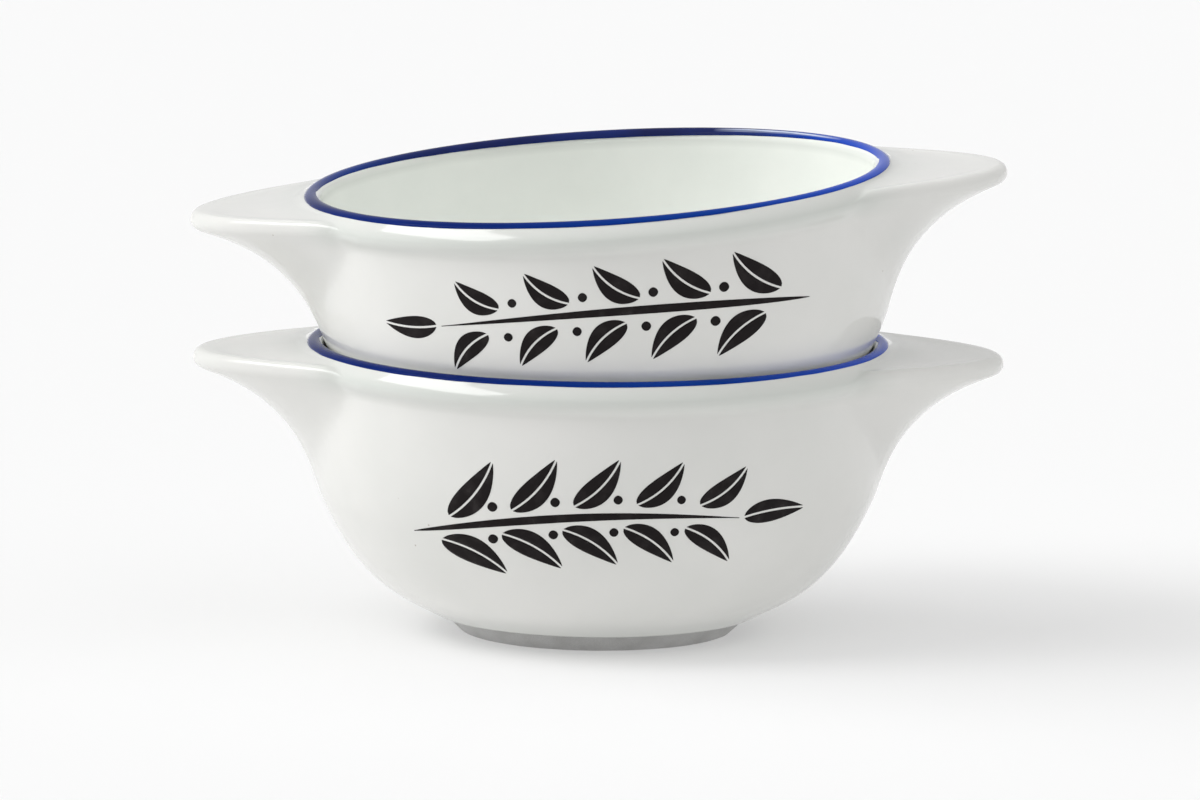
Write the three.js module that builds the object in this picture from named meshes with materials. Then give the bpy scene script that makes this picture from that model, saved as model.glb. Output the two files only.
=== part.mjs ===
// Two eared earthenware bowls, the upper one standing a little tilted in the lower one.
// Each bowl is a jiggered wall with a rolled lip. A foot ring and two pressed ears are stuck to it
// with slip, and a band of colour is fired over the crest of its rim.
// Millimetres, +Z up, with the origin on the table under the middle of the lower bowl.
// The ears point along X.

import * as THREE from "three";

// Rim and lip. Radii are from the bowl's axis, and drops are measured down from the crest.
const bowlHeight = 66.8; // table to the crest of the rim
const rimRadius = 64.6; // axis to the middle of the crest
const rimRound = 2.2; // radius of the rounded crest
const lipRadius = 68.3; // axis to the widest place of the rolled lip
const lipDrop = 3; // crest to that widest place
const lipShoulderDrop = 1.5; // crest to the shoulder between the band and the lip
const coveDrop = 9.5; // crest to where the lip has run out into the wall
const coveRadius = 66.3;

// Wall and floor
const shoulderRadius = 63.3; // outside of the wall where the belly ends
const shoulderHeight = 31.3;
const shoulderLean = 23.6; // degrees that the wall leans out there
const bellyTopReach = 24.1; // how long the belly keeps to that lean
const wallFootRadius = 37; // outside of the wall where it turns in to the foot ring
const bellyRise = 33; // degrees that the wall rises there
const bellyFootReach = 8.2; // how long the belly keeps to that rise
const wallThickness = 4.6;
const floorThickness = 6;
const floorRadius = 14; // the level middle of the inside
const floorReach = 24; // how far the floor's level reaches into the curve up to the wall

// Foot ring
const footRadius = 28.2; // outside of the ring on the table
const footFlare = 6.6; // how much wider the ring is where it meets the wall
const footHeight = 3.7;
const footWidth = 4.2;
const footChamfer = 0.6; // worn edges of the standing face

// Ears
const earReach = 24.2; // lip to the tip
const earEdgeRound = 2.6; // radius of the rounded edge
const earTopDrop = 1.8; // crest to the top of the ear
const earSpread = 29.5; // degrees of the rim that an ear takes up on each side of its middle
const earTaper = 1.4; // how quickly an ear draws in towards its ends
const earUnderFall = 16; // degrees that the underside falls from the edge towards the wall
const earUnderReach = 21.5; // how long the underside keeps to that fall
const webHeight = 36; // table to the foot of the web under the ear
const webReach = 5; // how long the web keeps to the wall above its foot
const webEdge = 0.6; // thickness of an ear where it runs out on the wall

// Colour band over the crest
const bandThickness = 0.6;
const bandWrap = 52; // degrees that the band reaches down each side of the crest

// Fits
const slipBed = 0.3; // bed of slip between a wall and what is stuck to it
const seatClearance = 0.4; // upper wall to the lower rim, measured level, where the bowls meet
const stackTilt = 4.1; // degrees that the upper bowl leans over in the lower one
const stackTurn = 16; // degrees that its highest place lies behind the right ear
const upperGrowth = 1.008; // fired size of the upper bowl against the lower one

// Fineness: facets around a bowl and along an ear, and points along each stretch of a section
const turnFacets = 40;
const earFacets = 10;
const earUnderPoints = 14;
const edgePoints = 3;
const bellyPoints = 8;
const uprightPoints = 3;
const lipPoints = 4;
const crestPoints = 3;
const insidePoints = 4;
const floorPoints = 6;
const tracePoints = 40; // for a curve that is measured
const settleRounds = 80;
const settleShare = 0.3; // how much of the way the bowl is moved in a round
const seatTurnStep = 5; // degrees between the places where the seat is measured

const glaze = { color: "#eeeeea", roughness: 0.18, metalness: 0 };
const biscuit = { color: "#9a9895", roughness: 0.85, metalness: 0 };
const cobalt = { color: "#1f3f8c", roughness: 0.25, metalness: 0 };

const quarterTurn = 90;
const halfTurn = 2 * quarterTurn;
const radians = THREE.MathUtils.degToRad;
const point = (radius, height) => new THREE.Vector2(radius, height);

function bezier(from, out, into, to, steps) {
  return new THREE.CubicBezierCurve(from, out, into, to).getPoints(steps);
}

function bend(from, corner, to, steps) {
  return new THREE.QuadraticBezierCurve(from, corner, to).getPoints(steps);
}

// Points on a round. Angles are degrees from straight up, and grow away from the bowl's axis.
function round(middle, radius, fromAngle, toAngle, steps) {
  return Array.from({ length: steps + 1 }, (_, step) => {
    const angle = radians(THREE.MathUtils.lerp(fromAngle, toAngle, step / steps));
    return point(middle.x + radius * Math.sin(angle), middle.y + radius * Math.cos(angle));
  });
}

// A row of points moved square to itself, to its left as it runs.
function movedAside(row, distance) {
  return row.map((place, index) => {
    const before = row[Math.max(index - 1, 0)];
    const after = row[Math.min(index + 1, row.length - 1)];
    const along = after.clone().sub(before).normalize();
    return point(place.x - along.y * distance, place.y + along.x * distance);
  });
}

// Places that the curves of a bowl start from and run into
const footTopRadius = footRadius + footFlare;
const wallUnderside = footHeight + slipBed;
const floorHeight = wallUnderside + floorThickness;
const wallFoot = point(wallFootRadius, wallUnderside);
const shoulder = point(shoulderRadius, shoulderHeight);
const lean = point(Math.sin(radians(shoulderLean)), Math.cos(radians(shoulderLean)));
const cove = point(coveRadius, bowlHeight - coveDrop);
const lipWidest = point(lipRadius, bowlHeight - lipDrop);
const earTipRadius = lipRadius + earReach;
const crestMiddle = point(rimRadius, bowlHeight - rimRound);
const [bandInside, bandOutside] = round(crestMiddle, rimRound, -bandWrap, bandWrap, 1);

// Outside of the wall, in four stretches from the foot to the band
function bellyCurve(steps) {
  const rise = point(Math.cos(radians(bellyRise)), Math.sin(radians(bellyRise)));
  const out = wallFoot.clone().addScaledVector(rise, bellyFootReach);
  const into = shoulder.clone().addScaledVector(lean, -bellyTopReach);
  return bezier(wallFoot, out, into, shoulder, steps);
}

function uprightCurve(steps) {
  const corner = point(coveRadius, shoulderHeight + ((coveRadius - shoulderRadius) * lean.y) / lean.x);
  return bend(shoulder, corner, cove, steps);
}

function lipUnderside(steps) {
  const middleHeight = (cove.y + lipWidest.y) / 2;
  return bezier(cove, point(coveRadius, middleHeight), point(lipRadius, middleHeight), lipWidest, steps);
}

function lipTop(steps) {
  return bend(lipWidest, point(lipRadius, bowlHeight - lipShoulderDrop), bandOutside, steps);
}

// Inside of the wall, in two stretches from the band to the middle of the floor
const inward = point(-lean.y, lean.x);
const innerShoulder = shoulder.clone().addScaledVector(inward, wallThickness);

function insideUpright(steps) {
  const cornerRise = ((bandInside.x - innerShoulder.x) * lean.y) / lean.x;
  return bend(bandInside, point(bandInside.x, innerShoulder.y + cornerRise), innerShoulder, steps);
}

function insideFloor(steps) {
  const out = innerShoulder.clone().addScaledVector(lean, -bellyTopReach);
  const into = point(floorRadius + floorReach, floorHeight);
  const floorEdge = point(floorRadius, floorHeight);
  return [...bezier(innerShoulder, out, into, floorEdge, steps), point(0, floorHeight)];
}

// An outline turned about the bowl's axis
function turned(outline) {
  return new THREE.LatheGeometry(outline, turnFacets).rotateX(Math.PI / 2);
}

// Wall and floor in one. The crest stays below the band by the slip bed.
function bowlWall() {
  const crestRound = rimRound - bandThickness - slipBed;
  return turned([
    point(0, wallUnderside),
    ...bellyCurve(bellyPoints),
    ...uprightCurve(uprightPoints).slice(1),
    ...lipUnderside(lipPoints).slice(1),
    ...lipTop(lipPoints).slice(1),
    ...round(crestMiddle, crestRound, bandWrap, -bandWrap, crestPoints),
    ...insideUpright(insidePoints),
    ...insideFloor(floorPoints).slice(1),
  ]);
}

// Ring that the bowl stands on. Its flat top lies under the bed of slip.
function footRing() {
  const boreRadius = footRadius - footWidth;
  return turned([
    point(boreRadius, footHeight),
    point(boreRadius, footChamfer),
    point(boreRadius + footChamfer, 0),
    point(footRadius - footChamfer, 0),
    point(footRadius, footChamfer),
    point(footTopRadius, footHeight),
    point(boreRadius, footHeight),
  ]);
}

// Thin cap of colour over the crest
function rimBand() {
  const outside = round(crestMiddle, rimRound, bandWrap, -bandWrap, crestPoints + 1);
  const inside = round(crestMiddle, rimRound - bandThickness, -bandWrap, bandWrap, crestPoints);
  return turned([...outside, ...inside, outside[0]]);
}

// The row of places on the lip and wall that an ear is stuck to, from the band down to the web's foot
function earGround(webFoot) {
  const wall = [...uprightCurve(tracePoints), ...lipUnderside(tracePoints).slice(1)];
  const covered = wall.filter((place) => place.y >= webFoot).reverse();
  const under = new THREE.Path(covered).getSpacedPoints(earUnderPoints);
  return [...lipTop(lipPoints).reverse(), ...under.slice(1)];
}

// Section through the middle of an ear: a level top, a rounded edge and an underside that sweeps
// down into the wall. It has one point for each point of the row that it grows out of.
function earSection(row) {
  const underAngle = halfTurn + earUnderFall;
  const middle = point(earTipRadius - earEdgeRound, bowlHeight - earTopDrop - earEdgeRound);
  const upperEdge = round(middle, earEdgeRound, 0, quarterTurn, edgePoints);
  const lowerEdge = round(middle, earEdgeRound, quarterTurn, underAngle, edgePoints);
  const edgeEnd = lowerEdge[lowerEdge.length - 1];
  const foot = row[row.length - 1];
  const upWall = row[row.length - 2].clone().sub(foot).normalize();
  const fall = point(-Math.cos(radians(earUnderFall)), -Math.sin(radians(earUnderFall)));
  const out = edgeEnd.clone().addScaledVector(fall, earUnderReach);
  const into = foot.clone().addScaledVector(upWall, webReach);
  const section = [row[0], ...upperEdge, ...lowerEdge.slice(1)];
  const underside = bezier(edgeEnd, out, into, foot, row.length - section.length);
  return [...section, ...underside.slice(1)];
}

// A closed solid through a row of closed outlines, which run clockwise seen from the first one.
function lofted(outlines) {
  const count = outlines[0].length;
  const corner = (ring, index) => ring * count + (index % count);
  const triangles = [];
  for (let ring = 0; ring < outlines.length - 1; ring += 1) {
    for (let index = 0; index < count; index += 1) {
      triangles.push(corner(ring, index), corner(ring, index + 1), corner(ring + 1, index + 1));
      triangles.push(corner(ring, index), corner(ring + 1, index + 1), corner(ring + 1, index));
    }
  }
  for (const ring of [0, outlines.length - 1]) {
    const flat = outlines[ring].map((place) => point(Math.hypot(place.x, place.y), place.z));
    for (const [a, b, c] of THREE.ShapeUtils.triangulateShape(flat, [])) {
      const clockwise = THREE.ShapeUtils.area([flat[a], flat[b], flat[c]]) < 0;
      const [second, third] = clockwise === (ring === 0) ? [c, b] : [b, c];
      triangles.push(corner(ring, a), corner(ring, second), corner(ring, third));
    }
  }
  const geometry = new THREE.BufferGeometry().setFromPoints(outlines.flat());
  return geometry.setIndex(triangles);
}

// An ear, pulled out of the lip. In the middle its section is full and its web reaches lowest. At both
// ends it shrinks to a thin edge on the lip.
function ear() {
  const outlines = [];
  for (let step = 0; step <= earFacets; step += 1) {
    const place = (2 * step) / earFacets - 1;
    const share = (1 - place * place) ** earTaper;
    const turn = radians(place * earSpread);
    const ground = earGround(THREE.MathUtils.lerp(cove.y, webHeight, share));
    const back = movedAside(ground, slipBed).reverse();
    const least = movedAside(ground, slipBed + webEdge);
    const full = earSection(least);
    const front = least.map((from, index) => from.clone().lerp(full[index], share));
    const outline = [...front, ...back];
    const turnedTo = ({ x, y }) => new THREE.Vector3(x * Math.cos(turn), x * Math.sin(turn), y);
    outlines.push(outline.map(turnedTo));
  }
  return lofted(outlines);
}

function piece(name, geometry, finish) {
  const mesh = new THREE.Mesh(geometry, new THREE.MeshStandardMaterial(finish));
  mesh.name = name;
  return mesh;
}

function bowl(place) {
  const leftEar = piece(`${place}_left_ear`, ear(), glaze);
  leftEar.rotation.z = Math.PI;
  return new THREE.Group().add(
    piece(`${place}_bowl_wall`, bowlWall(), glaze),
    piece(`${place}_foot_ring`, footRing(), biscuit),
    leftEar,
    piece(`${place}_right_ear`, ear(), glaze),
    piece(`${place}_rim_band`, rimBand(), cobalt),
  );
}

// Outside of a bowl, as a rim around it meets it: the wall, and above the foot of the web the underside
// of an ear
const wallRow = [...bellyCurve(tracePoints), ...uprightCurve(tracePoints).slice(1)];
const earRow = earSection(movedAside(earGround(webHeight), slipBed + webEdge)).reverse();
const seatedOutside = [...wallRow.filter((place) => place.y < earRow[0].y), ...earRow];

function outsideRadiusAt(height) {
  const above = seatedOutside.findIndex((place) => place.y >= height);
  if (above < 0) return earTipRadius;
  if (above === 0) return 0;
  const [low, high] = [seatedOutside[above - 1], seatedOutside[above]];
  return low.x + ((high.x - low.x) * (height - low.y)) / (high.y - low.y);
}

// Least level distance between the standing bowl and the inside of the rim around it, on the
// right (side 1) or the left (side -1)
function seatGap(standing, side) {
  const innerCrest = round(crestMiddle, rimRound, 0, -bandWrap, crestPoints);
  const rimInside = [...innerCrest, ...insideUpright(tracePoints)];
  let least = Infinity;
  for (let turn = -quarterTurn; turn <= quarterTurn; turn += seatTurnStep) {
    for (const { x: radius, y: height } of rimInside) {
      const across = side * radius * Math.cos(radians(turn));
      const place = new THREE.Vector3(across, radius * Math.sin(radians(turn)), height);
      standing.worldToLocal(place);
      least = Math.min(least, Math.hypot(place.x, place.y) - outsideRadiusAt(place.z));
    }
  }
  return least;
}

// The upper bowl leans to the left and is let down, and centred from side to side, until it is the
// seat clearance from the lower rim on both sides.
function seat(standing) {
  standing.scale.setScalar(upperGrowth);
  standing.rotation.y = -radians(stackTilt);
  standing.position.z = bowlHeight;
  for (let settle = 0; settle < settleRounds; settle += 1) {
    standing.updateMatrixWorld();
    const right = seatGap(standing, 1);
    const left = seatGap(standing, -1);
    standing.position.x += settleShare * (right - left);
    standing.position.z += settleShare * (2 * seatClearance - right - left);
  }
}

const lowerBowl = bowl("lower");
const upperBowl = bowl("upper");
const leaning = new THREE.Group().add(upperBowl);
const stacked = new THREE.Group().add(leaning);
seat(leaning);
upperBowl.rotation.z = -radians(stackTurn);
stacked.rotation.z = radians(stackTurn);

export default new THREE.Group().add(lowerBowl, stacked);
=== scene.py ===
"""Two eared earthenware bowls, one standing a little tilted in the other."""
import math

import bpy
from mathutils import Matrix, Vector, noise


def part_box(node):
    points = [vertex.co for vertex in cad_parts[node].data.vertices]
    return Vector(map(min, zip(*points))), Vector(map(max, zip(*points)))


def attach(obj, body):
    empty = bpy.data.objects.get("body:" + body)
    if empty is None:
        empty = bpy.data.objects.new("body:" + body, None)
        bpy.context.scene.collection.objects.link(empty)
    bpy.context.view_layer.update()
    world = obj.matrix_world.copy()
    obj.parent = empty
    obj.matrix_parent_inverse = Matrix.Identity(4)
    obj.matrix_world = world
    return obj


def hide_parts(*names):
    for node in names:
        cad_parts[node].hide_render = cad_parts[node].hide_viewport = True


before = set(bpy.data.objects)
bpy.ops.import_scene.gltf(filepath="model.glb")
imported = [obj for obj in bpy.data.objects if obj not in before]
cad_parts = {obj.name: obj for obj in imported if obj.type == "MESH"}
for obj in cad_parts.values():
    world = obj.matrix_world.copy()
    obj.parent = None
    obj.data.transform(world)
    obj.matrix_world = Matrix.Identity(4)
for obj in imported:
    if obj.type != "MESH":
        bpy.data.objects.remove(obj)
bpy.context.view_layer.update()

# Bowl body
# The wall, lip and floor are jiggered white earthenware. The two lug ears are pressed, luted under the
# rim with slip and smoothed over, and one white tin glaze runs over all of it down to the foot.
wall_low, wall_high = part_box("lower_bowl_wall")
crest_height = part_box("lower_rim_band")[1][2]
crest_wrap = math.radians(63)
rim_radius = 0.0646
rim_round = 0.0022
lip_radius = wall_high[0]
lip_drop = 0.0043
lip_shoulder_drop = 0.0034
cove_radius = 0.0663
cove_drop = 0.0088
shoulder_radius = 0.0633
shoulder_height = 0.0313
shoulder_lean = math.radians(23.6)
belly_fullness = 0.0241
belly_rise = math.radians(33)
belly_spring = 0.0082
wall_foot_radius = 0.0370
wall_foot_turn = 0.0012
wall_thickness = 0.0046
underside_height = wall_low[2]
underside_rings = (0.0, 0.008, 0.018, 0.028, 0.0345)
floor_height = underside_height + 0.0060
floor_radius = 0.0060
floor_middle_radius = 0.0030
floor_sweep = 0.0330

ear_tip_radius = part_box("lower_right_ear")[1][0]
ear_edge_round = 0.0022
ear_side_round = 0.0021
ear_top_drop = 0.0019
ear_tip_fall = 0.0006
ear_dish = 0.0004
ear_spread = math.radians(46)
ear_taper = 4.9
ear_root = 0.12
ear_under_fall = math.radians(17)
ear_side_fall = math.radians(60)
ear_under_reach = 0.0215
web_foot_height = 0.0315
web_reach = 0.0095
web_spread = 0.8

columns = 320
welding = 0.000001
touching = 0.00001
unevenness = 0.00009
unevenness_scale = 55.0


def curve(points, steps):
    """Places along a Bezier curve of three or four points, without its first one."""
    places = []
    for step in range(1, steps + 1):
        share = step / steps
        row = [Vector(point) for point in points]
        while len(row) > 1:
            row = [a.lerp(b, share) for a, b in zip(row, row[1:])]
        places.append(row[0])
    return places


def arc(middle, radius, start, end, steps):
    """Places on a round, by angle from straight up, which grows away from the bowl's axis."""
    places = []
    for step in range(steps + 1):
        angle = start + (end - start) * step / steps
        across = middle[0] + radius * math.sin(angle)
        height = middle[1] + radius * math.cos(angle)
        places.append(Vector((across, height)))
    return places


def bowl_section():
    """The stretches of the bowl's half section as (radius, height), from its underside to its floor."""
    lean = Vector((math.sin(shoulder_lean), math.cos(shoulder_lean)))
    rise = Vector((math.cos(belly_rise), math.sin(belly_rise)))
    foot = Vector((wall_foot_radius, underside_height))
    shoulder = Vector((shoulder_radius, shoulder_height))
    cove = Vector((cove_radius, crest_height - cove_drop))
    widest = Vector((lip_radius, crest_height - lip_drop))
    lip_middle = (cove.y + widest.y) / 2
    lip_shoulder = (widest.x, crest_height - lip_shoulder_drop)
    crest = arc((rim_radius, crest_height - rim_round), rim_round, crest_wrap, -crest_wrap, 8)
    upright_corner = shoulder + lean * ((cove_radius - shoulder_radius) / lean.x)
    inner = shoulder + Vector((-lean.y, lean.x)) * wall_thickness
    inner_corner = inner + lean * ((crest[-1].x - inner.x) / lean.x)
    floor_edge = Vector((floor_radius, floor_height))
    floor_bend = floor_edge + Vector((floor_sweep, 0))
    turn_start = foot - Vector((wall_foot_turn, 0))
    underside = [Vector((radius, underside_height)) for radius in underside_rings]
    belly = [foot, foot + rise * belly_spring, shoulder - lean * belly_fullness, shoulder]
    return {
        "underside": underside + [turn_start],
        "turn": curve([turn_start, foot, foot + rise * wall_foot_turn], 5),
        "belly": curve(belly, 20)[1:],
        "upright": curve([shoulder, upright_corner, cove], 12),
        "lip_under": curve([cove, (cove.x, lip_middle), (widest.x, lip_middle), widest], 9),
        "lip_top": curve([widest, lip_shoulder, crest[0]], 10)[:-1],
        "crest": crest,
        "inside": curve([crest[-1], inner_corner, inner], 32),
        "floor": curve([inner, inner - lean * belly_fullness, floor_bend, floor_edge], 14),
        "middle": [Vector((floor_middle_radius, floor_height)), Vector((0, floor_height))],
    }


def resampled(path, count):
    """Evenly spaced places along a path, with both its ends."""
    lengths = [(b - a).length for a, b in zip(path, path[1:])]
    step = sum(lengths) / (count - 1)
    places = [path[0]]
    travelled = 0.0
    for a, b, length in zip(path, path[1:], lengths):
        while len(places) < count - 1 and len(places) * step <= travelled + length:
            places.append(a.lerp(b, (len(places) * step - travelled) / length))
        travelled += length
    return places + [path[-1]]


def ear_section(rows, share):
    """The section of an ear that is drawn out by a share of its full reach, with a place for each row of
    lip and wall that it grows from. Its web starts lowest on the wall in the ear's middle."""
    edge_round = ear_side_round + (ear_edge_round - ear_side_round) * share
    tip = lip_radius + (ear_tip_radius - lip_radius) * share
    edge_top = crest_height - ear_top_drop - ear_tip_fall * share
    fall_angle = ear_side_fall + (ear_under_fall - ear_side_fall) * share
    fall = Vector((-math.cos(fall_angle), -math.sin(fall_angle)))
    edge = arc((tip - edge_round, edge_top - edge_round), edge_round, math.pi - fall_angle, 0, 8)
    dish = Vector(((edge[-1].x + rows[-1].x) / 2, edge[-1].y - 2 * ear_dish * share))
    top = curve([edge[-1], dish, rows[-1]], 8)
    cove_height = crest_height - cove_drop
    foot_height = cove_height - (cove_height - web_foot_height) * share ** web_spread
    below = [row for row in rows if row.y < foot_height] or rows[:1]
    above = rows[len(below)]
    up_wall = (above - below[-1]).normalized()
    foot = below[-1].lerp(above, (foot_height - below[-1].y) / (above.y - below[-1].y))
    web_bend = foot + up_wall * (web_reach * share)
    edge_bend = edge[0] + fall * (ear_under_reach * share)
    under = curve([foot, web_bend, edge_bend, edge[0]], 14)
    rise = resampled(below + [foot] + under, len(rows) - len(edge) - len(top) + 1)
    return rise[:-1] + edge + top


def clear_selection():
    bpy.ops.object.select_all(action="DESELECT")


def spun(name, section, steps, ring=False):
    """A half section of (radius, height) places, spun about the upright axis into one closed skin."""
    clear_selection()
    mesh = bpy.data.meshes.new(name)
    edges = [(index, index + 1) for index in range(len(section) - 1)]
    if ring:
        edges.append((len(section) - 1, 0))
    mesh.from_pydata([(place.x, 0, place.y) for place in section], edges, [])
    piece = bpy.data.objects.new(name, mesh)
    bpy.context.collection.objects.link(piece)
    bpy.context.view_layer.objects.active = piece
    piece.select_set(True)
    bpy.ops.object.mode_set(mode="EDIT")
    bpy.ops.mesh.select_all(action="SELECT")
    bpy.ops.mesh.spin(steps=steps, angle=2 * math.pi, center=(0, 0, 0), axis=(0, 0, 1))
    bpy.ops.mesh.select_all(action="SELECT")
    bpy.ops.mesh.remove_doubles(threshold=welding)
    bpy.ops.mesh.normals_make_consistent(inside=False)
    bpy.ops.object.mode_set(mode="OBJECT")
    return piece


def finished(piece, levels=0):
    """Shades a piece smooth, after an applied subdivision surface where levels are given."""
    clear_selection()
    bpy.context.view_layer.objects.active = piece
    piece.select_set(True)
    if levels:
        smooth = piece.modifiers.new("Smooth", "SUBSURF")
        smooth.levels = levels
        smooth.render_levels = levels
        bpy.ops.object.modifier_apply(modifier=smooth.name)
    bpy.ops.object.shade_smooth()
    return piece


def copied(piece, name):
    """Another of a piece that repeats, with a mesh of its own."""
    other = piece.copy()
    other.data = piece.data.copy()
    other.name = name
    bpy.context.collection.objects.link(other)
    return other


def ear_share(angle):
    """How far the lip is drawn out into an ear at an angle round the bowl: 1 in an ear's middle."""
    from_ear = min(abs(angle), math.pi - abs(angle))
    place = from_ear / ear_spread
    return (1 - place * place) ** ear_taper if place < 1 else 0.0


def nearest_row(rows, place):
    """The row that a place lies on, if any."""
    distances = [(row - place).length for row in rows]
    closest = min(distances)
    return distances.index(closest) if closest < touching else None


def bowl_body(name):
    """The spun wall, with the rows of its lip drawn out into the two ears and the webs below them."""
    section = bowl_section()
    drawn = section["upright"] + section["lip_under"] + section["lip_top"] + section["crest"][:1]
    drawn = [place for place in drawn if place.y >= web_foot_height]
    ears = {}
    body = spun(name, [place for stretch in section.values() for place in stretch], columns)
    for vertex in body.data.vertices:
        x, y, z = vertex.co
        radius = math.hypot(x, y)
        angle = math.atan2(y, x)
        share = ear_share(angle)
        row = None
        if share > 0 and radius > drawn[0].x - touching and z > drawn[0].y - touching:
            row = nearest_row(drawn, Vector((radius, z)))
        if row is not None:
            key = round(share, 5)
            if key not in ears:
                ears[key] = ear_section(drawn, share)
            root = min(1.0, share / ear_root)
            radius, z = drawn[row].lerp(ears[key][row], root * root * (3 - 2 * root))
        uneven = unevenness * noise.noise(vertex.co * unevenness_scale)
        radius += uneven
        vertex.co = (radius * math.cos(angle), radius * math.sin(angle), z + uneven / 2)
    return finished(body)


def material(name):
    """A new material, with its node tree, its Principled shader and its Object coordinates."""
    made = bpy.data.materials.new(name)
    made.use_nodes = True
    nodes = made.node_tree.nodes
    coordinates = nodes.new("ShaderNodeTexCoord")
    return made, made.node_tree, nodes["Principled BSDF"], coordinates.outputs["Object"]


def soft_noise():
    """The shader group for soft noise, stretched so that Low comes out as 0 and High as 1."""
    group = bpy.data.node_groups.new("soft_noise", "ShaderNodeTree")
    group.interface.new_socket("Place", in_out="INPUT", socket_type="NodeSocketVector")
    for setting in ("Scale", "Detail", "Low", "High"):
        group.interface.new_socket(setting, in_out="INPUT", socket_type="NodeSocketFloat")
    group.interface.new_socket("Mask", in_out="OUTPUT", socket_type="NodeSocketFloat")
    given = group.nodes.new("NodeGroupInput")
    result = group.nodes.new("NodeGroupOutput")
    cloud = group.nodes.new("ShaderNodeTexNoise")
    stretch = group.nodes.new("ShaderNodeMapRange")
    group.links.new(given.outputs["Place"], cloud.inputs["Vector"])
    group.links.new(given.outputs["Scale"], cloud.inputs["Scale"])
    group.links.new(given.outputs["Detail"], cloud.inputs["Detail"])
    group.links.new(cloud.outputs["Fac"], stretch.inputs["Value"])
    group.links.new(given.outputs["Low"], stretch.inputs["From Min"])
    group.links.new(given.outputs["High"], stretch.inputs["From Max"])
    group.links.new(stretch.outputs["Result"], result.inputs["Mask"])
    return group


noise_group = soft_noise()


def noise_mask(tree, place, scale, detail, low, high):
    """Soft noise in a material, at a scale in cells for each metre."""
    cloud = tree.nodes.new("ShaderNodeGroup")
    cloud.node_tree = noise_group
    settings = {"Scale": scale, "Detail": detail, "Low": low, "High": high}
    for setting, value in settings.items():
        cloud.inputs[setting].default_value = value
    tree.links.new(place, cloud.inputs["Place"])
    return cloud.outputs["Mask"]


def mixed(tree, share, first, second):
    """A colour between two others. Each is a colour or another node's output."""
    mix = tree.nodes.new("ShaderNodeMix")
    mix.data_type = "RGBA"
    tree.links.new(share, mix.inputs["Factor"])
    for socket, colour in ((mix.inputs["A"], first), (mix.inputs["B"], second)):
        if isinstance(colour, tuple):
            socket.default_value = (*colour, 1)
        else:
            tree.links.new(colour, socket)
    return mix.outputs["Result"]


def ranged(tree, value, taken=(0, 1), given=(0, 1)):
    """A value whose range taken is stretched over the range given, and held at its ends."""
    stretch = tree.nodes.new("ShaderNodeMapRange")
    for socket, limit in zip(("From Min", "From Max", "To Min", "To Max"), (*taken, *given)):
        stretch.inputs[socket].default_value = limit
    tree.links.new(value, stretch.inputs["Value"])
    return stretch.outputs["Result"]


def attribute(tree, name):
    reader = tree.nodes.new("ShaderNodeAttribute")
    reader.attribute_name = name
    return reader


def bumped(tree, shader, heights):
    """Bump on a shader from (height, distance in metres, strength) in turn."""
    normal = None
    for height, distance, strength in heights:
        bump = tree.nodes.new("ShaderNodeBump")
        bump.inputs["Distance"].default_value = distance
        bump.inputs["Strength"].default_value = strength
        tree.links.new(height, bump.inputs["Height"])
        if normal:
            tree.links.new(normal, bump.inputs["Normal"])
        normal = bump.outputs["Normal"]
    tree.links.new(normal, shader.inputs["Normal"])


def white_glaze():
    """Milky glaze with faint clouds and iron specks, mottled and painted lighter inside as painted light,
    greyer where it pools above the foot and on the floor, with painted shade under the lip and inside the
    crest.
    """
    glaze_white = (0.80, 0.798, 0.772)
    glaze_cloud = (0.765, 0.768, 0.74)
    # The inside glaze is painted lighter and a little greener than the outside: painted light in the bowl.
    lit_inside_white = (0.92, 0.94, 0.90)
    lit_inside_cloud = (0.885, 0.91, 0.87)
    # Darker glaze where it pools above the foot and on the floor, and the same colour as painted shade
    # under the lip and inside the crest.
    glaze_pool_and_shade = (0.665, 0.69, 0.655)
    iron_speck = (0.30, 0.24, 0.18)
    speck_scale = 75
    speck_edge = (0.022, 0.012)
    speck_strength = 0.6
    roughness = (0.035, 0.07)
    made, tree, shader, place = material("white_tin_glaze")
    cloud = noise_mask(tree, place, scale=38, detail=3, low=0.35, high=0.7)
    mottle = noise_mask(tree, place, scale=85, detail=6, low=0.3, high=0.75)
    wave = noise_mask(tree, place, scale=120, detail=2, low=0.3, high=0.7)
    fine = noise_mask(tree, place, scale=900, detail=2, low=0.3, high=0.7)
    outside_colour = mixed(tree, cloud, glaze_white, glaze_cloud)
    lit_inside_colour = mixed(tree, mottle, lit_inside_white, lit_inside_cloud)
    colour = mixed(tree, attribute(tree, "inside").outputs["Fac"], outside_colour, lit_inside_colour)
    colour = mixed(tree, attribute(tree, "pool_and_shade").outputs["Fac"], colour, glaze_pool_and_shade)
    cells = tree.nodes.new("ShaderNodeTexVoronoi")
    cells.inputs["Scale"].default_value = speck_scale
    tree.links.new(place, cells.inputs["Vector"])
    speck = ranged(tree, cells.outputs["Distance"], taken=speck_edge, given=(0, speck_strength))
    tree.links.new(mixed(tree, speck, colour, iron_speck), shader.inputs["Base Color"])
    tree.links.new(ranged(tree, cloud, given=roughness), shader.inputs["Roughness"])
    bumped(tree, shader, [(wave, 0.00012, 0.08), (fine, 0.00002, 0.08)])
    return made


foot_pool = 0.45
foot_pool_radius = 0.030
foot_pool_rise = 0.006
floor_pool = 0.35
floor_pool_radius = 0.045
floor_pool_bottom = 0.0095
floor_pool_rise = 0.012
# Painted shade in the cove under the lip and inside the crest.
lip_shade_radius = 0.0655
lip_shade_drop = 0.0040
lip_shade_reach = 0.0046
lip_shade_fade = 0.006
crest_shade = 0.45
crest_shade_drop = 0.0026
crest_shade_reach = 0.0011
floor_slack = 0.0005
facing_up = 0.7
least_radius = 1e-9


def nearness(distance, reach):
    """1 at no distance, falling evenly to 0 at the reach."""
    return max(0.0, 1 - distance / reach)


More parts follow.
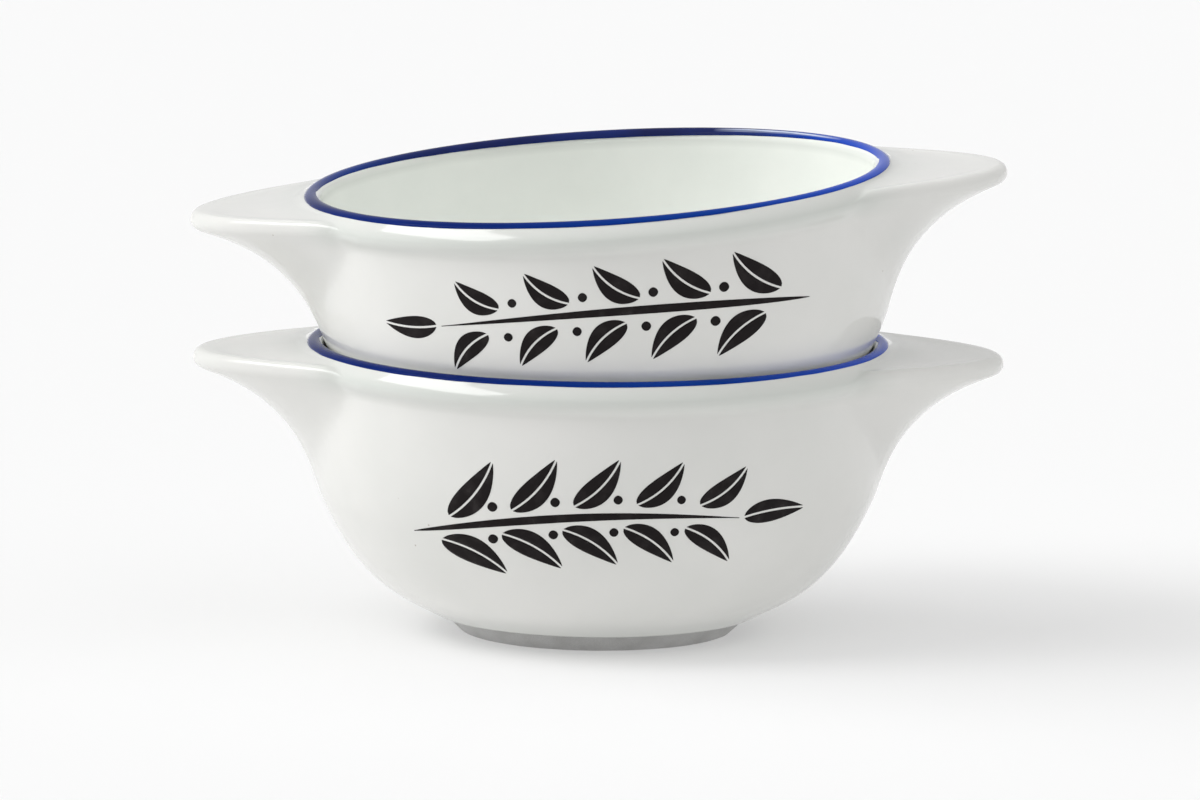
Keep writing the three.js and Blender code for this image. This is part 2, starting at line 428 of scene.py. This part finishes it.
def mark_pools_and_shade(body):
    """Marks the inside, whose glaze colour is painted lighter as painted light, and where the glaze is
    darker:
    pools of glaze above the foot and on the floor inside, and painted shade under the lip and inside the
    crest."""
    body.data.attributes.new("inside", "FLOAT", "POINT")
    body.data.attributes.new("pool_and_shade", "FLOAT", "POINT")
    inside = body.data.attributes["inside"]
    pool_and_shade = body.data.attributes["pool_and_shade"]
    for vertex, lit_inside, darkened in zip(body.data.vertices, inside.data, pool_and_shade.data):
        x, y, z = vertex.co
        radius = math.hypot(x, y)
        outward = (vertex.normal.x * x + vertex.normal.y * y) / max(radius, least_radius)
        within = radius < rim_radius and z > floor_height - floor_slack
        # The inside is marked for its lighter colour, which is painted light.
        lit_inside.value = 1.0 if within and (outward < 0 or vertex.normal.z > facing_up) else 0.0
        darkening = 0.0
        if radius > foot_pool_radius:
            darkening += foot_pool * nearness(z - underside_height, foot_pool_rise)
        if radius < floor_pool_radius and z > floor_pool_bottom:
            darkening += floor_pool * nearness(z - floor_height, floor_pool_rise)
        # Painted shade in the cove under the lip.
        if radius > lip_shade_radius:
            under_lip = nearness(abs(z - crest_height + lip_shade_drop), lip_shade_reach)
            darkening += under_lip * min(1.0, nearness(radius - lip_radius, lip_shade_fade))
        # Painted shade inside the crest.
        if within:
            darkening += crest_shade * nearness(abs(z - crest_height + crest_shade_drop), crest_shade_reach)
        darkened.value = min(1.0, darkening)


def middle_of(node):
    """The mean place of a node's corners, each counted once."""
    corners = {tuple(round(c, 6) for c in vertex.co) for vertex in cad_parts[node].data.vertices}
    return sum((Vector(corner) for corner in corners), Vector()) / len(corners)


def stance(place):
    """The foot, the upright and the crossways axis of a bowl in the frame."""
    foot = middle_of(f"{place}_foot_ring")
    upright = middle_of(f"{place}_rim_band") - foot
    across = middle_of(f"{place}_right_ear") - middle_of(f"{place}_left_ear")
    across -= across.project(upright)
    return foot, upright, across.normalized()


def stacking():
    """How the upper bowl, a little larger from the kiln, stands in the lower one: it leans over until its
    wall meets the rim. Its place and size are read from the frame's own foot rings, bands and ears."""
    low_foot, low_upright, _ = stance("lower")
    high_foot, high_upright, high_across = stance("upper")
    growth = high_upright.length / low_upright.length
    upward = high_upright.normalized()
    axes = Matrix((high_across, upward.cross(high_across), upward)).transposed()
    turned = (axes * growth).to_4x4()
    return Matrix.Translation(high_foot - turned @ low_foot) @ turned


stacked = stacking()
lower_body = bowl_body("lower_glazed_body")
mark_pools_and_shade(lower_body)
lower_body.data.materials.append(white_glaze())
upper_body = copied(lower_body, "upper_glazed_body")
upper_body.data.transform(stacked)
for place, body in (("lower", lower_body), ("upper", upper_body)):
    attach(body, f"{place}_bowl")
    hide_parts(f"{place}_bowl_wall", f"{place}_left_ear", f"{place}_right_ear")

# Foot rings
# Each bowl stands on a low ring of clay, put on with slip and turned. It is wiped before the firing, so
# it stays bare biscuit with a fine grain, worn smooth on the face that it stands on. Its grey is partly
# the clay's own colour and partly painted shade under the belly.
foot_low, foot_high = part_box("lower_foot_ring")
foot_radius = 0.0314
foot_bore = 0.0250
foot_top = underside_height + 0.0003
foot_edge = 0.0008
foot_edge_turn = 2.2
foot_flare_radius = foot_radius + 0.0016
foot_flare_height = 0.0019
foot_wear = 0.00012
foot_wear_scale = 240


def foot_ring(name):
    """A ring with round edges that flares into the wall above it, worn a little uneven."""
    outer = (foot_radius - foot_edge, foot_low[2] + foot_edge)
    inner = (foot_bore + foot_edge, foot_low[2] + foot_edge)
    section = [Vector((foot_bore, foot_top))]
    section += arc(inner, foot_edge, -math.pi / 2, -math.pi, 4)
    section += arc(outer, foot_edge, math.pi, foot_edge_turn, 4)
    flare = (foot_flare_radius, foot_flare_height)
    section += curve([section[-1], flare, (foot_high[0], underside_height)], 4)
    section += [Vector((foot_high[0], foot_top))]
    ring = spun(name, section, columns, ring=True)
    for vertex in ring.data.vertices:
        worn = foot_wear * noise.noise(vertex.co * foot_wear_scale)
        vertex.co.x *= 1 + worn / foot_radius
        vertex.co.y *= 1 + worn / foot_radius
    return finished(ring, levels=1)


def shaded_grey_biscuit():
    """Bare fired clay, cloudy and grainy, its grey partly the clay's own and partly painted shade."""
    # Both clay greys are darker than the clay's own colour: partly painted shade under the belly.
    clay_and_shade = (0.53, 0.528, 0.522)
    dark_clay_and_shade = (0.42, 0.417, 0.41)
    grain_strength = 0.35
    roughness = (0.7, 0.85)
    made, tree, shader, place = material("shaded_grey_biscuit")
    cloud = noise_mask(tree, place, scale=160, detail=4, low=0.35, high=0.75)
    grain = noise_mask(tree, place, scale=2600, detail=2, low=0.35, high=0.65)
    colour = mixed(tree, cloud, clay_and_shade, dark_clay_and_shade)
    colour = mixed(tree, ranged(tree, grain, given=(0, grain_strength)), colour, dark_clay_and_shade)
    tree.links.new(colour, shader.inputs["Base Color"])
    tree.links.new(ranged(tree, cloud, given=roughness), shader.inputs["Roughness"])
    bumped(tree, shader, [(grain, 0.00008, 0.5)])
    return made


lower_foot = foot_ring("lower_biscuit_foot")
lower_foot.data.materials.append(shaded_grey_biscuit())
upper_foot = copied(lower_foot, "upper_biscuit_foot")
upper_foot.data.transform(stacked)
for place, foot in (("lower", lower_foot), ("upper", upper_foot)):
    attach(foot, f"{place}_bowl")
    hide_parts(f"{place}_foot_ring")

# Rim bands
# A cobalt line is laid on the turning rim with a full brush and fired into the glaze. It is a thin skin
# over the crest, with edges that waver, painted shade at the back and a painted highlight streak at the
# back right.
band_outer_reach = math.radians(57)
band_outer_sway = math.radians(13)
band_inner_reach = math.radians(24)
band_inner_sway = math.radians(44)
band_waver = math.radians(5)
slow_waver = 1.7
quick_waver = 9
quick_waver_share = 0.35
outer_edge_seed = 2
band_skin = 0.00006
band_depth = 0.0004
band_columns = 256


def rim_band(name, seed):
    """A ring over the crest. It is spun from -1 to 1 across the brush, and then stretched to the reach of
    its edges, which changes all round the rim."""
    middle = (rim_radius, crest_height - rim_round)
    top = arc(middle, rim_round + band_skin, 1, -1, 10)
    under = arc(middle, rim_round - band_depth, -1, 1, 6)
    band = spun(name, top + under, band_columns, ring=True)
    band.data.attributes.new("stroke_place", "FLOAT_VECTOR", "POINT")
    stroke_place = band.data.attributes["stroke_place"]
    for vertex, value in zip(band.data.vertices, stroke_place.data):
        x, y, z = vertex.co
        angle = math.atan2(y, x)
        along_x, along_y = math.cos(angle), math.sin(angle)
        across = math.hypot(x, y) - middle[0]
        above = z - middle[1]
        share = math.atan2(across, above)
        value.vector = (along_x, along_y, share)
        reach = band_outer_reach - band_outer_sway * max(0.0, along_x)
        if share < 0:
            reach = band_inner_reach + band_inner_sway * math.sqrt(max(0.0, along_y))
        edge_seed = seed + outer_edge_seed if share > 0 else seed
        round_rim = Vector((along_x, along_y, edge_seed))
        quick = quick_waver_share * noise.noise(round_rim * quick_waver)
        reach += band_waver * (noise.noise(round_rim * slow_waver) + quick)
        skin = math.hypot(across, above)
        radius = middle[0] + skin * math.sin(share * reach)
        height = middle[1] + skin * math.cos(share * reach)
        vertex.co = (radius * along_x, radius * along_y, height)
    return finished(band)


def arithmetic(tree, operation, first, second=0):
    """One step of arithmetic. Each value is a number or another node's output."""
    step = tree.nodes.new("ShaderNodeMath")
    step.operation = operation
    for socket, value in zip(step.inputs, (first, second)):
        if isinstance(value, (int, float)):
            socket.default_value = value
        else:
            tree.links.new(value, socket)
    return step.outputs["Value"]


def combined(tree, operation, place, direction):
    """The node for a vector operation on a place with a fixed direction."""
    step = tree.nodes.new("ShaderNodeVectorMath")
    step.operation = operation
    step.inputs[1].default_value = direction
    tree.links.new(place, step.inputs[0])
    return step


def cobalt_line():
    """Cobalt that is bright and deep on two sides of the rim as the brush went round, with painted shade
    at the back and a painted highlight streak at the back right.
    """
    cobalt = (0.003, 0.036, 0.25)
    bright_cobalt = (0.014, 0.068, 0.50)
    deep_cobalt = (0.001, 0.011, 0.11)
    # Painted shade: the back of the band is darkened towards navy.
    painted_shade_navy = (0.014, 0.017, 0.070)
    # A painted highlight: pale streaks along the band at the back right.
    painted_highlight = (0.56, 0.62, 0.76)
    bright_side = math.radians(-5)
    deep_side = math.radians(-145)
    shaded_side = math.radians(97)
    highlight_side = math.radians(47)
    shade_strength = 0.95
    cloud_strength = 0.12
    edge_strength = 0.2
    highlight_place = 0.42
    highlight_edge = (0.26, 0.12)
    hair_stretch = (3, 3, 4)
    roughness = (0.08, 0.16)
    made, tree, shader, place = material("cobalt_line")
    stroke = attribute(tree, "stroke_place").outputs["Vector"]
    parts = tree.nodes.new("ShaderNodeSeparateXYZ")
    tree.links.new(stroke, parts.inputs["Vector"])
    across = parts.outputs["Z"]

    def towards(side, start, end, strength=1):
        """From 0 to strength, as the cosine of the angle to a side goes from start to end."""
        facing = combined(tree, "DOT_PRODUCT", stroke, (math.cos(side), math.sin(side), 0))
        return ranged(tree, facing.outputs["Value"], taken=(start, end), given=(0, strength))

    cloud = noise_mask(tree, place, scale=55, detail=4, low=0.35, high=0.7)
    stretched = combined(tree, "MULTIPLY", stroke, hair_stretch).outputs["Vector"]
    hairs = noise_mask(tree, stretched, scale=1, detail=3, low=0.46, high=0.56)
    from_highlight = arithmetic(tree, "ABSOLUTE", arithmetic(tree, "ADD", across, highlight_place))
    streak = ranged(tree, from_highlight, taken=highlight_edge)
    streak = arithmetic(tree, "MULTIPLY", streak, ranged(tree, hairs, given=(0.35, 1)))
    # The painted highlight streak, broken by the brush hairs, at the back right.
    highlight = arithmetic(tree, "MULTIPLY", streak, towards(highlight_side, 0.95, 0.985))
    from_middle = arithmetic(tree, "ABSOLUTE", across)
    edge = ranged(tree, from_middle, taken=(0.86, 1), given=(0, edge_strength))
    colour = mixed(tree, towards(bright_side, 0.5, 0.95), cobalt, bright_cobalt)
    colour = mixed(tree, towards(deep_side, 0.4, 0.9), colour, deep_cobalt)
    # Painted shade at the back of the band.
    colour = mixed(tree, towards(shaded_side, 0.5, 0.85, shade_strength), colour, painted_shade_navy)
    colour = mixed(tree, ranged(tree, cloud, given=(0, cloud_strength)), colour, bright_cobalt)
    colour = mixed(tree, highlight, colour, painted_highlight)
    tree.links.new(mixed(tree, edge, colour, bright_cobalt), shader.inputs["Base Color"])
    tree.links.new(ranged(tree, cloud, given=roughness), shader.inputs["Roughness"])
    shader.inputs["Specular IOR Level"].default_value = 0.04
    bumped(tree, shader, [(hairs, 0.00002, 0.3)])
    return made


band_colour = cobalt_line()
lower_band = rim_band("lower_cobalt_line", seed=0.0)
upper_band = rim_band("upper_cobalt_line", seed=11.0)
upper_band.data.transform(stacked)
for place, band in (("lower", lower_band), ("upper", upper_band)):
    band.data.materials.append(band_colour)
    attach(band, f"{place}_bowl")
    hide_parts(f"{place}_rim_band")

# Painted sprays
# A leaf spray is brushed on the front of each bowl in black, stroke by stroke, before the last firing.
# Each stroke is a thin skin of colour on the glaze, full in the middle and drawn out to a point.
paint_skin = 0.00005
paint_depth = 0.0002
painting_plane = -0.1
least_width = 0.00016
stem_width = 0.0019
midrib_gap = 0.0005
leaf_pairs = 5
first_leaf = 0.10
leaf_stretch = 0.76
leaf_stagger = 0.02
leaf_gap = 0.0027
leaf_bow = 0.0012
leaf_shortening = 0.25
leaf_narrowing = 0.2
leaf_turns = {1: math.radians(42), -1: math.radians(38)}
end_leaf_gap = 0.0012
end_leaf_bow = 0.0006
end_leaf_size = 0.8
berry_place = 0.13
berry_stagger = 0.01
berry_gap = 0.0038
berry_width = 0.0023
berry_narrowing = 0.0005

clear_selection()
bpy.ops.mesh.primitive_grid_add(x_subdivisions=36, y_subdivisions=6, size=1)
blank_stroke = bpy.context.object


def bowed(start, end, side, bow, share):
    """A place on the way from start to end, whose middle moves aside by bow."""
    return start.lerp(end, share) + side * (bow * 4 * share * (1 - share))


def brush_stroke(start, end, bow, width, half=0, bluntness=0.8, fullness=0.75):
    """A bowed stroke in the upright plane before the bowl. With half it is only one side of a leaf, with a
    gap along the midrib. A low bluntness makes its ends round."""
    stroke = copied(blank_stroke, "stroke")
    start, end = Vector(start), Vector(end)
    along = (end - start).normalized()
    side = Vector((-along.y, along.x))
    for vertex in stroke.data.vertices:
        share = min(max(vertex.co.x + 0.5, 0.0), 1.0)
        swell = width * max(math.sin(math.pi * share ** fullness), 0.0) ** bluntness
        swell = max(swell, least_width)
        aside = vertex.co.y * swell
        if half:
            aside = half * (midrib_gap / 2) + (half + 2 * vertex.co.y) * swell / 4
        place = bowed(start, end, side, bow, share) + side * aside
        vertex.co = (place.x, painting_plane, place.y)
    return stroke


def leaf(root, tip, bow, width):
    return [brush_stroke(root, tip, bow, width, half) for half in (1, -1)]


def spray(name, start, end, bow, leaf_length, leaf_width):
    """A stem with pairs of leaves, a leaf at its end and berries between. The stem goes from start to end,
    which are (x, height) places on the front."""
    start, end = Vector(start), Vector(end)
    along = (end - start).normalized()
    side = Vector((-along.y, along.x))
    strokes = [brush_stroke(start, end, bow, stem_width)]

    def on_stem(share):
        return bowed(start, end, side, bow, share)

    for pair in range(leaf_pairs):
        share = first_leaf + leaf_stretch * pair / (leaf_pairs - 1)
        heading = (on_stem(share + leaf_stagger) - on_stem(share - leaf_stagger)).normalized()
        across = Vector((-heading.y, heading.x))
        length = leaf_length * (1 - leaf_shortening * share)
        width = leaf_width * (1 - leaf_narrowing * share)
        for hand, turn in leaf_turns.items():
            out = heading * math.cos(turn) + across * (hand * math.sin(turn))
            root = on_stem(share + leaf_stagger * hand) + across * (hand * leaf_gap)
            strokes += leaf(root, root + out * length, -hand * leaf_bow, width)
            if pair == leaf_pairs - 1:
                continue
            berry = on_stem(share + berry_place + berry_stagger * hand) + across * (hand * berry_gap)
            size = berry_width - berry_narrowing * share
            far_side = berry + heading * size
            strokes.append(brush_stroke(berry, far_side, 0, size, bluntness=0.5, fullness=1))
    root = on_stem(1) + along * end_leaf_gap
    tip = root + along * (leaf_length * end_leaf_size)
    strokes += leaf(root, tip, end_leaf_bow, leaf_width * end_leaf_size)
    clear_selection()
    for stroke in strokes:
        stroke.select_set(True)
    bpy.context.view_layer.objects.active = strokes[0]
    bpy.ops.object.join()
    painted = bpy.context.object
    painted.name = name
    wrap = painted.modifiers.new("Wrap", "SHRINKWRAP")
    wrap.target = lower_body
    wrap.wrap_method = "PROJECT"
    wrap.use_project_x = False
    wrap.use_project_y = True
    wrap.use_project_z = False
    wrap.use_positive_direction = True
    wrap.offset = paint_skin
    bpy.ops.object.modifier_apply(modifier=wrap.name)
    skin = painted.modifiers.new("Skin", "SOLIDIFY")
    skin.thickness = paint_depth
    skin.offset = -1
    bpy.ops.object.modifier_apply(modifier=skin.name)
    return finished(painted)


def black_brushwork():
    """Black underglaze colour, thinner in streaks."""
    black = (0.014, 0.0115, 0.012)
    thin_black = (0.030, 0.026, 0.026)
    roughness = (0.2, 0.32)
    made, tree, shader, place = material("black_brushwork")
    streak = noise_mask(tree, place, scale=260, detail=3, low=0.5, high=0.8)
    tree.links.new(mixed(tree, streak, black, thin_black), shader.inputs["Base Color"])
    tree.links.new(ranged(tree, streak, given=roughness), shader.inputs["Roughness"])
    shader.inputs["Specular IOR Level"].default_value = 0.06
    return made


brushwork = black_brushwork()
lower_spray = spray("lower_leaf_spray", start=(-0.041, 0.0300), end=(0.032, 0.0350), bow=0.0035,
                    leaf_length=0.0165, leaf_width=0.0060)
upper_spray = spray("upper_leaf_spray", start=(0.046, 0.0440), end=(-0.036, 0.0435), bow=-0.0025,
                    leaf_length=0.0140, leaf_width=0.0058)
bpy.data.objects.remove(blank_stroke)
upper_spray.data.transform(stacked)
for place, painted in (("lower", lower_spray), ("upper", upper_spray)):
    painted.data.materials.append(brushwork)
    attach(painted, f"{place}_bowl")

# Floor and light
# The bowls stand on a wide pale sheet under soft studio light: a large key and a softbox from the left, a
# weaker fill from the right and some light from above. A long white card is mirrored in the glaze.
sheet_size = 60
sheet_grey = 0.58
sheet_glow = 0.34
clear_selection()
bpy.ops.mesh.primitive_plane_add(size=sheet_size)
floor = bpy.context.object
floor.name = "floor"
sheet, _, sheet_shader, _ = material("pale_sheet")
sheet_shader.inputs["Base Color"].default_value = (sheet_grey, sheet_grey, sheet_grey, 1)
sheet_shader.inputs["Emission Color"].default_value = (1, 1, 1, 1)
sheet_shader.inputs["Emission Strength"].default_value = sheet_glow
sheet_shader.inputs["Roughness"].default_value = 1
sheet_shader.inputs["Specular IOR Level"].default_value = 0
floor.data.materials.append(sheet)


def heading_to(from_left, height):
    """The way to a lamp, by degrees to the left of the camera and degrees of height."""
    flat = math.radians(from_left)
    steep = math.radians(height)
    return Vector((-math.sin(flat), -math.cos(flat), math.tan(steep))).normalized()


def sun(name, from_left, height, width, level):
    """A lamp that the glaze doesn't mirror, with degrees of width. A white sheet that faces it gets this
    level of grey from it."""
    bpy.ops.object.light_add(type="SUN", location=(0, 0, 1))
    lamp = bpy.context.object
    lamp.name = name
    lamp.rotation_euler = heading_to(from_left, height).to_track_quat("Z", "Y").to_euler()
    lamp.data.angle = math.radians(width)
    lamp.data.energy = level * math.pi
    lamp.visible_glossy = False


sun("key", from_left=97, height=28, width=60, level=0.55)
sun("softbox", from_left=66, height=50, width=30, level=0.22)
sun("fill", from_left=-75, height=37, width=90, level=0.22)
sun("overhead", from_left=0, height=82, width=100, level=0.36)

card_distance = 1.5
card_length = 1.25
card_breadth = 0.48
card_power = 9.5
card_way = heading_to(from_left=77, height=45)
card_turn = card_way.to_track_quat("Z", "Y").to_euler()
bpy.ops.object.light_add(type="AREA", location=card_way * card_distance, rotation=card_turn)
card = bpy.context.object
card.name = "card"
card.data.shape = "RECTANGLE"
card.data.size = card_length
card.data.size_y = card_breadth
card.data.energy = card_power
card.visible_diffuse = False

backdrop_level = 0.947
ambient_level = 0.15
mirrored_level = 0.7
world = bpy.data.worlds.new("studio")
bpy.context.scene.world = world
world.use_nodes = True
air = world.node_tree
backdrop = air.nodes["Background"]
rays = air.nodes.new("ShaderNodeLightPath")
mirrored = air.nodes.new("ShaderNodeMix")
mirrored.inputs["A"].default_value = ambient_level
mirrored.inputs["B"].default_value = mirrored_level
seen = air.nodes.new("ShaderNodeMix")
seen.inputs["B"].default_value = backdrop_level
air.links.new(rays.outputs["Is Glossy Ray"], mirrored.inputs["Factor"])
air.links.new(rays.outputs["Is Camera Ray"], seen.inputs["Factor"])
air.links.new(mirrored.outputs["Result"], seen.inputs["A"])
air.links.new(seen.outputs["Result"], backdrop.inputs["Strength"])
backdrop.inputs["Color"].default_value = (1, 1, 1, 1)

# Camera
# The bowls are seen from the front at a low angle through a long lens, a little off level.
view_height = math.radians(8.83)
view_roll = math.radians(0.555)
view_distance = 3.0
view_end = 100
film_width = 36
picture_pixels = (1200, 800)
pixel_size = 0.0002281
rim_middle_pixel = (598.4, 342.5)
rim_middle = Vector((0, 0, 0.066))

looking = Vector((0, math.cos(view_height), -math.sin(view_height)))
right = Matrix.Rotation(-view_roll, 3, looking) @ Vector((1, 0, 0))
up = right.cross(looking)
aside = (picture_pixels[0] / 2 - rim_middle_pixel[0]) * pixel_size
below = (picture_pixels[1] / 2 - rim_middle_pixel[1]) * pixel_size
aim = rim_middle + right * aside - up * below
camera_turn = Matrix((right, up, -looking)).transposed().to_euler()
bpy.ops.object.camera_add(location=aim - looking * view_distance, rotation=camera_turn)
camera = bpy.context.object
camera.data.sensor_width = film_width
camera.data.lens = film_width * view_distance / (picture_pixels[0] * pixel_size)
camera.data.clip_end = view_end
bpy.context.scene.camera = camera
bpy.context.scene.view_settings.view_transform = "Standard"
